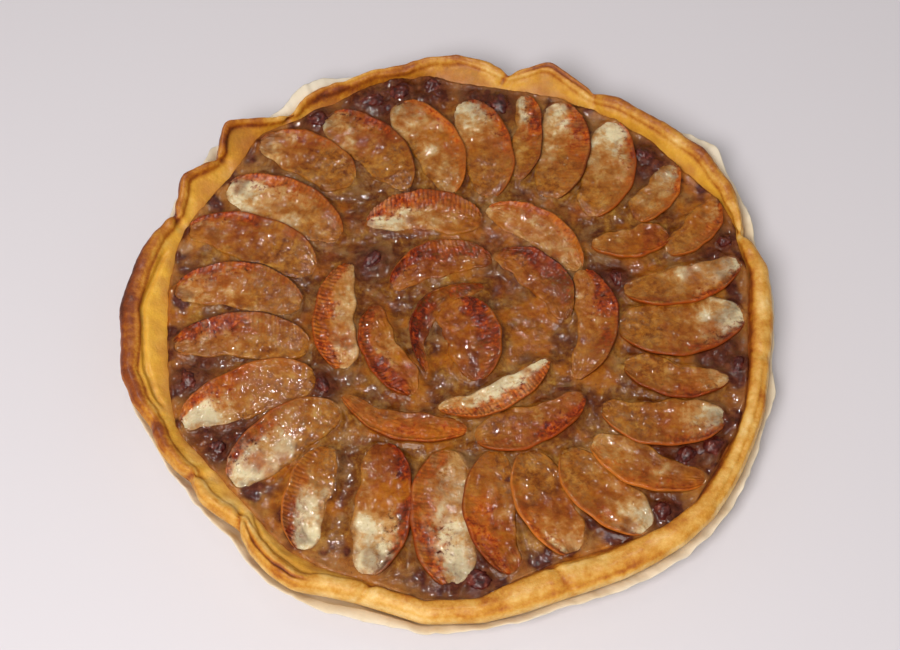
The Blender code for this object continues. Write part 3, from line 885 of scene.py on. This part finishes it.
def buildSlice(index, nodeName, place):
    seed = 3.7 * index
    bm = bmesh.new()
    bmesh.ops.create_uvsphere(bm, u_segments=apple["around"], v_segments=apple["along"], radius=1)
    ball = np.array([vert.co for vert in bm.verts])
    turn = np.arctan2(ball[:, 1], ball[:, 0]) / (2 * math.pi) % 1.0
    share = np.arccos(np.clip(-ball[:, 2], -1, 1)) / math.pi
    t = 0.6 * (2 * share - 1) - 0.4 * np.cos(math.pi * share)
    points, across = sliceForm(place, turn, t, seed)
    for vert, point in zip(bm.verts, points * mm):
        vert.co = point
    bmesh.ops.recalc_face_normals(bm, faces=bm.faces)
    if bm.calc_volume(signed=True) < 0:      # a bent slice can come out turned inwards
        bmesh.ops.reverse_faces(bm, faces=bm.faces)
    mesh = toMesh(bm, "apple" + nodeName.title().replace("_", ""))
    level = sliceSection(turn)[1]
    normals = perVertex(mesh, "normal")
    lift, layers = sliceRelief(points, normals, place, t, across, level, sliceLooks[nodeName], seed)
    points = points + normals * lift[:, None]
    movePoints(mesh, points * mm)
    for key, values in layers.items():
        paint(mesh, key, values)
    paintMarks(mesh, points)
    addPiece(mesh, appleSkin, "apple", nodeName)


# the syrup that coats apple and custard alike
wetCoat = {"IOR": 1.42, "Specular IOR Level": 0.06, "Coat Weight": 0.38, "Coat Roughness": 0.07,
           "Coat IOR": 1.4}


def appleFinish():
    finish, tree, shader = startMaterial("bakedApple", {
        **wetCoat, "Roughness": 0.55, "Subsurface Weight": 0.10, "Subsurface Scale": 0.002,
        "Subsurface Radius": (1.0, 0.45, 0.2)})
    grain = noiseField(tree, 1.7, 4, 0.6)
    mottle = noiseField(tree, 5.0, 4, 0.6, 0.4)
    speckle = noiseField(tree, 2.6, 4, 0.7, 0.3)
    fibres = fibreField(tree)
    colour = fleshColour(tree, mottle, fibres, grain)
    colour = brownedBand(tree, colour, speckle, grain)
    shares = {"scorch": 0.65, "amber": 0.75, "plum": 0.50}
    colour = coverWithMarks(tree, colour, mottle, grain, shares)
    colour = syrupFilm(tree, colour, mottle, speckle, grain)
    colour = tint(tree, colour, "notch", 0.75, srgb(92, 32, 12))
    skin = colourRamp(tree, "skinDark", (0.00, 194, 112, 38), (0.40, 154, 64, 12),
                      (0.75, 76, 20, 6), (1.00, 28, 12, 14))
    colour = mixColour(tree, "skin", colour, skin)
    pits = spread(tree, noiseField(tree, 1.3, 2, 0.5), 0.64, 0.72)
    colour = tint(tree, colour, pits, 0.3, srgb(92, 44, 16))
    wet = maths(tree, "ADD", "amber", spread(tree, mottle, 0.4, 0.65, 0.0, 0.6), True)
    plug(tree, shader, {"Base Color": colour, "Roughness": spread(tree, wet, 0, 1, 0.55, 0.30),
                        "Normal": wetBump(tree, fibres), "Coat Normal": bubbleBump(tree)})
    return finish


def fleshColour(tree, mottle, fibres, grain):
    cream = maths(tree, "MULTIPLY", "cream", 0.32)
    pale = maths(tree, "ADD", "pale", cream)
    pale = vary(tree, pale, mottle, -0.22, 0.18)
    pale = vary(tree, pale, fibres, -0.04, 0.04)
    pale = vary(tree, pale, grain, -0.08, 0.07, True)
    return colourRamp(tree, pale, (0.00, 104, 40, 2), (0.25, 138, 68, 12), (0.50, 164, 98, 34),
                      (0.75, 192, 146, 88), (1.00, 220, 204, 164))


def brownedBand(tree, colour, speckle, grain):
    # along the skin, with freckles before it
    dark = vary(tree, "bandDark", speckle, -0.55, 0.50)
    dark = vary(tree, dark, grain, -0.20, 0.20, True)
    band = colourRamp(tree, dark, (0.00, 204, 110, 28), (0.30, 180, 74, 8), (0.60, 130, 36, 2),
                      (1.00, 60, 12, 2))
    freckles = spread(tree, speckle, 0.50, 0.64)
    fringe = maths(tree, "MULTIPLY", "fringe", freckles)
    return mixColour(tree, maths(tree, "MAXIMUM", "band", fringe), colour, band)


def syrupFilm(tree, colour, mottle, speckle, grain):
    # syrup and custard that run over the sunken part of a slice
    film = vary(tree, "film", grain, -0.12, 0.12)
    film = maths(tree, "MULTIPLY", film, maths(tree, "GREATER_THAN", "film", 0.02), True)
    syrup = colourRamp(tree, mottle, (0.30, 140, 78, 10), (0.50, 166, 102, 26), (0.70, 190, 138, 58))
    thin = custardColour(tree, mottle, grain)
    over = mixColour(tree, spread(tree, speckle, 0.40, 0.60), thin, syrup)
    return mixColour(tree, film, colour, over)


def custardColour(tree, mottle, grain):
    # also lies as a film over the sunken parts of the slices, so that the two run together
    broad = noiseField(tree, 16, 4, 0.6, 0.5)
    tone = vary(tree, fromNoise(tree, broad, -0.05, 0.55), mottle, -0.08, 0.44)
    tone = vary(tree, tone, grain, -0.16, 0.14, True)
    colour = colourRamp(tree, tone, (0.00, 68, 25, 4), (0.35, 104, 53, 8), (0.65, 140, 89, 26),
                        (1.00, 182, 138, 60))
    haze = spread(tree, noiseField(tree, 10, 4, 0.65, 0.8), 0.46, 0.66, 0.0, 0.60)
    return mixColour(tree, haze, colour, srgb(156, 118, 70))


def fibreField(tree):
    # grain of the flesh, drawn out across the slice
    along = maths(tree, "DIVIDE", "fibreAlong", 1.3)
    across = maths(tree, "DIVIDE", "fibreAcross", 7.0)
    place = addNode(tree, "ShaderNodeCombineXYZ", {"X": along, "Y": across}).outputs[0]
    return addNode(tree, "ShaderNodeTexNoise", {"Vector": place, "Scale": 1.0, "Detail": 3.0}).outputs["Fac"]


def wetBump(tree, fibres=None):
    # shrivelled skin of a baked surface
    normal = bumpFrom(tree, noiseField(tree, 2.4, 5, 0.65), 0.30, 0.7)
    if fibres is not None:
        normal = bumpFrom(tree, fibres, 0.06, 0.5, normal)
    return normal


def bubbleBump(tree):
    # small bubbles in clusters, on the wet coat
    cluster = spread(tree, noiseField(tree, 9.0, 3, 0.6), 0.42, 0.58, 0.45, 1.0)
    bubbles = maths(tree, "MULTIPLY", noiseField(tree, 1.6, 1, 0.5), cluster)
    return bumpFrom(tree, bubbles, 0.48, 1.0)


slicePlaces = settleSlices()


# custard

custard = {
    "spacing": 0.8,
    "level": 19.0,
    "underside": 5.5,
    "drawnIn": 0.91,     # share of its reach left at the underside
    "unevenness": ((0.5, 13, 31), (0.45, 4.5, 32, 2), (0.16, 1.9, 33)),      # swells, lumps and grain
    "wallRise": 1.3,     # it clings to the crust
    "coreRise": 1.5,     # and to the core side of a slice
    "skinRise": 1.7,
    "clingReach": 2.0,
    "clingSearch": 6,    # past this distance from a slice's ends it isn't drawn up
    "overlap": 0.9,      # it laps over the edges of a slice by this much
    "sinking": 2.0,
    "dive": 1.3,         # it runs down under the crust's slope
    "raisinRise": 1.6,
    "wallReach": 2.5,    # and how far from the crust it does
    "margin": 5,         # of the first grid, past the crust's slope
    "wallTint": 7,       # how far the lighter edge by the crust reaches in
}


def clingToSlices(points):
    # how far the custard climbs the slices that stand in it, and sinks away underneath them
    rise = np.zeros(len(points))
    sink = np.zeros(len(points))
    for place in slicePlaces.values():
        away = points[:, :2] - place["middle"]
        near = np.hypot(away[:, 0], away[:, 1]) < place["half"] + custard["clingSearch"]
        t, w = sliceCoordinates(place, points[near])
        low, high = sliceEdges(place, t)
        beyond = (np.abs(t) - 1) * place["half"]
        beside = np.maximum(low - w, w - high)
        skinSide = smoothStep(low - 1, high + 1, w)
        most = custard["coreRise"] * (1 - skinSide) + custard["skinRise"] * skinSide
        away = np.hypot(np.maximum(beyond, 0), np.maximum(beside, 0))
        climb = most * np.exp(-((away / custard["clingReach"]) ** 1.4))
        under = np.clip(-np.maximum(beyond, beside) - custard["overlap"], 0, 2)
        rise[near] = np.maximum(rise[near], climb)
        sink[near] = np.maximum(sink[near], custard["sinking"] * under)
    return rise - sink


def clingToRaisins(points):
    rise = np.zeros(len(points))
    for x, y, reach in raisinPlaces:
        away = np.hypot(points[:, 0] - x, points[:, 1] - y)
        rise = np.maximum(rise, custard["raisinRise"] * np.exp(-((away / (reach + 1.0)) ** 4)))
    return rise


def custardHeights(points):
    # the height of every point, and how far it lies within the custard's edge
    bearing, reach = bearingAndReach(points)
    edge = rimAt(bearing)
    height = custard["level"] + layered(points, *custard["unevenness"])
    slices = clingToSlices(points)
    height += np.where(slices < 0, slices, np.maximum(slices, clingToRaisins(points)))
    lapping = 1 + 0.7 * roughness(points, 9, 34, 2)
    byWall = np.exp(-np.maximum(edge - reach, 0) / custard["wallReach"])
    height += custard["wallRise"] * lapping * byWall
    height -= custard["dive"] * np.maximum(reach - edge, 0)
    return height, edge + rimAt(bearing, "cover") - reach


def custardTop():
    # a grid at the custard's heights, cut to its edge
    side = 2 * (max(rimEdge["reach"]) + custard["margin"])
    count = int(side / custard["spacing"])
    bm = bmesh.new()
    bmesh.ops.create_grid(bm, x_segments=count, y_segments=count, size=0.5 * side * mm)
    heights, inside = custardHeights(np.array([vert.co for vert in bm.verts]) / mm)
    for vert, height in zip(bm.verts, heights):
        vert.co.z = height * mm
    beyond = [vert for vert, margin in zip(bm.verts, inside) if margin < 0]
    bmesh.ops.delete(bm, geom=beyond, context="VERTS")
    loose = [vert for vert in bm.verts if not vert.link_faces]
    bmesh.ops.delete(bm, geom=loose, context="VERTS")
    return bm


def closeBelow(bm):
    # a wall that draws in to a flat underside
    rim = [edge for edge in bm.edges if edge.is_boundary]
    wall = bmesh.ops.extrude_edge_only(bm, edges=rim)["geom"]
    for vert in [item for item in wall if isinstance(item, bmesh.types.BMVert)]:
        vert.co = vert.co * custard["drawnIn"]
        vert.co.z = custard["underside"] * mm
    lower = [item for item in wall if isinstance(item, bmesh.types.BMEdge) and item.is_boundary]
    bmesh.ops.contextual_create(bm, geom=lower)
    bmesh.ops.triangulate(bm, faces=[face for face in bm.faces if len(face.verts) > 4])
    bmesh.ops.recalc_face_normals(bm, faces=bm.faces)


def buildCustard():
    bm = custardTop()
    closeBelow(bm)
    mesh = toMesh(bm, "bakedCustard")
    points = perVertex(mesh, "co") / mm
    paintMarks(mesh, points)
    bearing, reach = bearingAndReach(points)
    paint(mesh, "wall", np.exp(-np.maximum(rimAt(bearing) - reach, 0) / custard["wallTint"]))
    return mesh


def custardFinish():
    finish, tree, shader = startMaterial("syrupyCustard", {
        **wetCoat, "Roughness": 0.5, "Subsurface Weight": 0.12, "Subsurface Scale": 0.003,
        "Subsurface Radius": (1.0, 0.4, 0.15)})
    mottle = noiseField(tree, 4.5, 4, 0.6, 0.3)
    grain = noiseField(tree, 1.5, 3, 0.6)
    colour = custardColour(tree, mottle, grain)
    colour = tint(tree, colour, "wall", 0.45, srgb(188, 122, 62))
    shares = {"scorch": 0.30, "amber": 0.70, "plum": 0.95}
    colour = coverWithMarks(tree, colour, mottle, grain, shares)
    pits = spread(tree, noiseField(tree, 1.2, 2, 0.5), 0.64, 0.71)
    colour = tint(tree, colour, pits, 0.45, srgb(74, 34, 18))
    plug(tree, shader, {"Base Color": colour, "Roughness": fromNoise(tree, mottle, 0.28, 0.48),
                        "Normal": wetBump(tree), "Coat Normal": bubbleBump(tree)})
    return finish


# raisins

raisin = {
    "fineness": 4,
    "wrinkles": 1.5,
    "dents": 1.9,
    "swell": 1.30,
    "lift": 0.2,
    "looseFineness": 3,
    "looseHeight": 0.45,     # share of its length
    "looseLift": 0.1,
    "looseLengths": (5.0, 8.0),
    "looseCount": (5, 9),    # burst ones round each whole raisin near the crust
    "looseReach": (5.0, 15.0),
    "looseGap": 2,           # from one to the next
    "looseRimGap": 1,
    "rimBand": 34,           # near the crust is within this distance
    "seed": 12,
}


def raisinFinish():
    finish, tree, shader = startMaterial("moistRaisin", {
        "Roughness": 0.35, "IOR": 1.45, "Specular IOR Level": 0.25, "Coat Weight": 0.4,
        "Coat Roughness": 0.12, "Coat IOR": 1.4})
    folds = noiseField(tree, 3.4, 3, 0.6, 0.6)
    colour = colourRamp(tree, folds, (0.30, 44, 8, 6), (0.50, 74, 20, 14), (0.64, 106, 42, 30),
                        (0.78, 148, 88, 68))
    plug(tree, shader, {"Base Color": colour, "Normal": wetBump(tree),
                        "Coat Normal": bubbleBump(tree)})
    return finish


def wrinkle(bm, seed):
    # shrivels a ball of radius 0.5
    for vert in bm.verts:
        way = vert.co * 3.1 + Vector((seed * 4.3, 0, 0))
        fold = 1 - abs(noise.noise(Vector((way.x * 0.8, way.y * 2.0, way.z * 2.0)))) * 2
        dent = noise.noise(vert.co * 1.7 + Vector((0, seed * 2.9, 5)))
        vert.co *= 1 - 0.12 * raisin["wrinkles"] * fold + 0.16 * raisin["dents"] * dent


def addLump(bm, size, turn, middle, fineness, seed):
    lump = bmesh.new()
    bmesh.ops.create_icosphere(lump, subdivisions=fineness, radius=0.5)
    wrinkle(lump, seed)
    bmesh.ops.scale(lump, verts=lump.verts, vec=size)
    bmesh.ops.rotate(lump, verts=lump.verts, cent=(0, 0, 0), matrix=Matrix.Rotation(turn, 3, "Z"))
    bmesh.ops.translate(lump, verts=lump.verts, vec=middle)
    made = toMesh(lump, "lump")
    bm.from_mesh(made)
    bpy.data.meshes.remove(made)


def raisinPlace(nodeName):
    # middle, turn, and size in millimetres of a raisin, from its CAD solid
    low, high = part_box(nodeName)
    points = perVertex(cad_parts[nodeName].data, "co")
    middle = 0.5 * (low + high)
    flat = (points - np.array(middle))[:, :2]
    ways = np.linalg.eigh(flat.T @ flat)[1]
    size = np.ptp(flat @ ways, axis=0) / mm
    return middle, math.atan2(ways[1, 1], ways[0, 1]), (size[1], size[0], (high.z - low.z) / mm)


def buildRaisin(index, nodeName, finish):
    middle, turn, size = raisinPlace(nodeName)
    grow = raisin["swell"] * mm
    bm = bmesh.new()
    centre = Vector(middle) + Vector((0, 0, raisin["lift"] * mm))
    addLump(bm, Vector(size) * grow, turn, centre, raisin["fineness"], index)
    addPiece(toMesh(bm, "wrinkledRaisin{:02d}".format(index)), finish, "raisin", nodeName)
    raisinPlaces.append((middle.x / mm, middle.y / mm, 0.5 * size[0] * raisin["swell"]))


def overSlice(x, y):
    for place in slicePlaces.values():
        t, w = sliceCoordinates(place, np.array([[x, y, 0.0]]))
        core, skin = sliceEdges(place, t)
        if abs(t[0]) < 0.95 and core[0] < w[0] < skin[0]:
            return True
    return False


def rimDistance(x, y):
    return rimAt(math.degrees(math.atan2(y, x)) % 360) - math.hypot(x, y)


def scatterLoose():
    # x, y, length and turn of the burst raisins that lie round the whole ones
    draw = random.Random(raisin["seed"])
    spots = []
    for x, y, _ in raisinPlaces:
        if rimDistance(x, y) > raisin["rimBand"]:
            continue
        for _ in range(draw.randint(*raisin["looseCount"])):
            turn = draw.uniform(0, 2 * math.pi)
            away = draw.uniform(*raisin["looseReach"])
            there = (x + away * math.cos(turn), y + away * math.sin(turn))
            length = draw.uniform(*raisin["looseLengths"])
            clear = 0.5 * length + raisin["looseGap"]
            apart = all(math.hypot(there[0] - a, there[1] - b) > clear for a, b, _, _ in spots)
            inside = rimDistance(*there) > 0.5 * length + raisin["looseRimGap"]
            if apart and inside and not overSlice(*there):
                spots.append((*there, length, turn))
    return spots


def buildLooseRaisins(finish):
    bm = bmesh.new()
    for index, (x, y, length, turn) in enumerate(scatterLoose(), 40):
        breadth = 0.74 + 0.12 * math.sin(index * 2.3)
        size = Vector((length, length * breadth, length * raisin["looseHeight"])) * mm
        middle = Vector((x, y, custard["level"] + raisin["looseLift"])) * mm
        addLump(bm, size, turn, middle, raisin["looseFineness"], index)
        raisinPlaces.append((x, y, 0.42 * length))
    addPiece(toMesh(bm, "looseRaisins"), finish, "raisin")


raisinPlaces = []
raisinSkin = raisinFinish()
raisinNames = sorted(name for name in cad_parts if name.startswith("raisin"))
for raisinIndex, raisinName in enumerate(raisinNames, 1):
    buildRaisin(raisinIndex, raisinName, raisinSkin)
buildLooseRaisins(raisinSkin)
print("raisins built:", len(raisinPlaces))

appleSkin = appleFinish()
for sliceIndex, (sliceName, slicePlace) in enumerate(slicePlaces.items()):
    buildSlice(sliceIndex, sliceName, slicePlace)
print("slices built:", len(slicePlaces))

custardMesh = buildCustard()
addPiece(custardMesh, custardFinish(), "custard", "filling")
print("custard built:", len(custardMesh.polygons), "faces")


# baking paper

paper = {
    "stations": 900,
    "thickness": 0.35,
    "rows": 14,
    "ripple": 1.0,
    "edgeWave": 1.6,
    "lipFlare": 1.2,     # the loose edge leans out
    "clear": 0.9,        # of the crust
    "footHeight": 0.3,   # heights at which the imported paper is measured
    "lowest": 0.2,
    "edgeInset": 0.2,    # and how far below its edge the last one is
    "edgeSearch": (32, 0.5),      # how far past its foot its edge is looked for, and in what steps
    "pleatRing": 140,    # radius on which pleats and jags are drawn
    "pleats": ((1.0, 7, 41), (0.6, 3.2, 42)),
    "deepestPleat": 0.2,
    "jags": ((1.0, 9, 43), (0.5, 3, 44)),
    "floorRings": (0.0, 0.5, 0.97),
}


def paperSections(tree):
    # the outer face of the CAD paper at every station, from its flat underside up to its edge
    count, rows = paper["stations"], paper["rows"]
    low, inset = paper["lowest"], paper["edgeInset"]
    bearings = np.arange(count) * 2 * math.pi / count
    reach, height = np.zeros((count, rows)), np.zeros((count, rows))
    for j, bearing in enumerate(bearings):
        outward = wayOut(bearing)
        top, topReach = paperTop(tree, outward, reachAt(tree, outward, paper["footHeight"]))
        height[j] = low + (top - low - inset) * np.linspace(0, 1, rows)
        reach[j] = [reachAt(tree, outward, z) or topReach for z in height[j]]
        reach[j, -1] = max(reach[j, -1], topReach)
    return np.degrees(bearings), circularBlur(reach, 2), circularBlur(height, 2)


def paperTop(tree, outward, foot):
    # height and reach of the paper's edge
    far, step = paper["edgeSearch"]
    best, bestReach = 0.0, foot
    for reach in np.arange(foot, foot + far, step):
        height = heightAt(tree, outward, reach) or 0.0
        if height > best:
            best, bestReach = height, reach
    return best, bestReach


def buildPaper():
    bearings, reach, height = paperSections(rayTree("paper"))
    stations, rows = reach.shape
    share = np.linspace(0, 1, rows)[None, :]
    ring = np.radians(bearings)
    around = paper["pleatRing"] * np.stack([np.cos(ring), np.sin(ring), 0 * ring], -1)
    pleat = np.maximum(layered(around, *paper["pleats"]), -paper["deepestPleat"])[:, None]
    reach = reach + paper["ripple"] * pleat * share ** 1.5
    reach = reach + paper["lipFlare"] * smoothStep(0.8, 1, share)
    jag = layered(around, *paper["jags"])[:, None]
    height = height + paper["edgeWave"] * jag * smoothStep(0.7, 1.0, share)
    height[:, 0] = 0.0
    for j in range(stations):
        behind = np.interp(height[j], crustFlank["height"][j], crustFlank["reach"][j])
        reach[j] = np.maximum(reach[j], behind + paper["clear"])
    reach = circularBlur(reach, 1)
    # the outer face from the middle of the underside to the edge, and the inner face back to the middle
    thick = paper["thickness"]
    below = towardsMiddle(reach[:, 0], paper["floorRings"])
    outer = np.concatenate([below, reach], 1)
    outerHeight = np.concatenate([np.zeros(below.shape), height], 1)
    inner = np.concatenate([below, reach - thick], 1)[:, ::-1]
    innerHeight = np.concatenate([np.full(below.shape, thick), height + thick * 0.4], 1)[:, ::-1]
    return spunMesh("trimmedPaper", np.concatenate([outer, inner], 1),
                    np.concatenate([outerHeight, innerHeight], 1), {})


def paperFinish():
    finish, tree, shader = startMaterial("bakingPaper", {
        "Roughness": 0.55, "IOR": 1.45, "Specular IOR Level": 0.4, "Subsurface Weight": 0.0})
    butter = noiseField(tree, 22, 3, 0.5)
    colour = colourRamp(tree, butter, (0.30, 232, 222, 204), (0.60, 228, 214, 188), (0.75, 218, 198, 160))
    normal = bumpFrom(tree, noiseField(tree, 5, 4, 0.6), 0.5, 0.6)
    plug(tree, shader, {"Base Color": colour, "Normal": normal})
    return finish


paperMesh = buildPaper()
addPiece(paperMesh, paperFinish(), "baking_paper", "paper")
print("paper built:", len(paperMesh.polygons), "faces")


# floor, light and camera, in metres

studio = {
    "floorColour": srgb(218, 214, 220),
    "worldColour": (1.0, 0.97, 0.935, 1.0),
    "worldStrength": 0.44,
    "keyPlace": (-0.30, -0.66, 1.00),
    "keySize": 0.60,
    "keyWatts": 12.0,
    "sparkPlace": (-0.06, 0.26, 1.17),
    "sparkSize": 0.05,
    "sparkWatts": 7.0,
    "lampColour": (1.0, 0.97, 0.935),
    "cameraPlace": (0.00125, -0.41415, 0.73072),
    "cameraTarget": (0.00125, -0.00381, 0.02),
    "lens": 72.0,
    "sensor": 36.0,
    "floorHalf": 3.0,
}


def addFloor():
    bm = bmesh.new()
    bmesh.ops.create_grid(bm, x_segments=2, y_segments=2, size=studio["floorHalf"])
    floor = addObject("floor", toMesh(bm, "floor"))
    floor.data.materials.append(startMaterial("paleFloor", {
        "Base Color": studio["floorColour"], "Roughness": 0.6, "Specular IOR Level": 0.2})[0])


def aim(thing, place, target):
    thing.location = place
    thing.rotation_euler = (Vector(target) - Vector(place)).to_track_quat("-Z", "Y").to_euler()


def addLamp(name):
    lamp = bpy.data.lights.new(name, "AREA")
    lamp.shape = "DISK"
    lamp.size = studio[name + "Size"]
    lamp.energy = studio[name + "Watts"]
    lamp.color = studio["lampColour"]
    holder = addObject(name, lamp)
    aim(holder, studio[name + "Place"], (0, 0, 0))
    return holder


def addWorld():
    world = bpy.data.worlds.new("studio")
    world.use_nodes = True
    background = world.node_tree.nodes["Background"]
    background.inputs["Color"].default_value = studio["worldColour"]
    background.inputs["Strength"].default_value = studio["worldStrength"]
    bpy.context.scene.world = world


def addCamera():
    camera = addObject("camera", bpy.data.cameras.new("camera"))
    camera.data.lens = studio["lens"]
    camera.data.sensor_width = studio["sensor"]
    camera.data.clip_start = 0.01
    aim(camera, studio["cameraPlace"], studio["cameraTarget"])
    bpy.context.scene.camera = camera


addFloor()
addLamp("key")
spark = addLamp("spark")
spark.visible_diffuse = False        # it only lights the wet highlights, and throws no shadow
addWorld()
addCamera()
bpy.context.scene.view_settings.view_transform = "Standard"
print("stage set")
